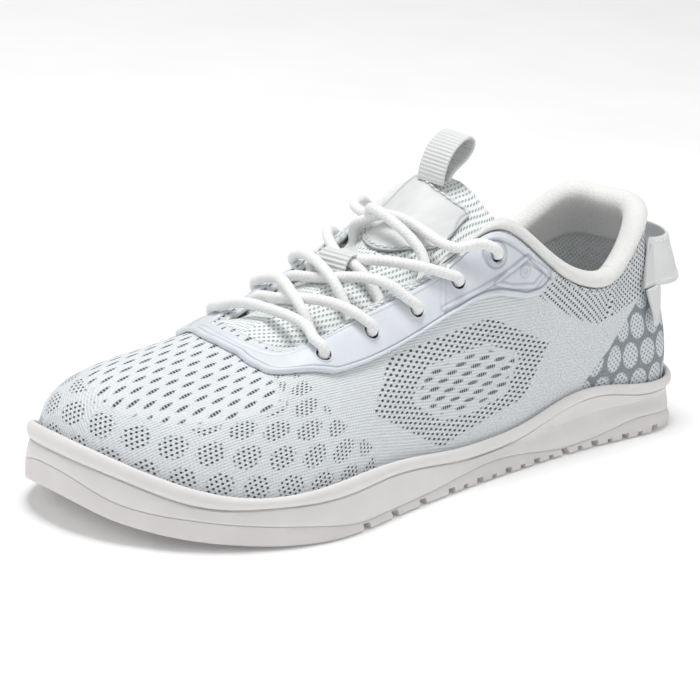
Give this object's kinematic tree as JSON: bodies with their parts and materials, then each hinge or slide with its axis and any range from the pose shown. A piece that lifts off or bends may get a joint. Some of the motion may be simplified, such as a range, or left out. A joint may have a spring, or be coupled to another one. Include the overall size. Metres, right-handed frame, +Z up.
{
  "type": "barefoot shoe",
  "caption": "Low knit lace-up barefoot sports shoe, left foot, with a thin flexible sole, moulded eyestay, padded collar, tongue loop and heel pull.",
  "frame": {"origin": "centre of the bounding box at its lowest height, which is the floor under the sole", "axes": "toe towards -Y, outer (lateral) side of the foot towards +X, +Z up"},
  "size_m": [0.1068, 0.2863, 0.1201],
  "materials": {
    "outsole": "matte rubber",
    "midsole": "matte foam rubber",
    "insole": "knit over foam",
    "upper": "engineered knit",
    "film": "matte moulded film",
    "lining": "brushed fabric over foam",
    "tongue": "open mesh over foam",
    "patch": "smooth coated fabric",
    "webbing": "woven webbing",
    "lace": "round braided lace",
    "eyelet": "moulded ring"
  },
  "bodies": {
    "root": {"outsole": "outsole", "midsole": "midsole", "insole": "insole", "upper": "upper", "eyestay": "film", "collar": "lining", "tongue": "tongue", "tongue_patch": "patch", "lace_keeper": "webbing", "tongue_loop": "webbing", "heel_pull": "webbing", "pull_tab_lateral": "webbing", "pull_tab_medial": "webbing", "eyelet_lateral": "eyelet", "eyelet_medial": "eyelet", "lace_bar": "lace", "lace_crossing_1": "lace", "lace_crossing_2": "lace", "lace_crossing_3": "lace", "lace_crossing_4": "lace"}
  },
  "joints": []
}
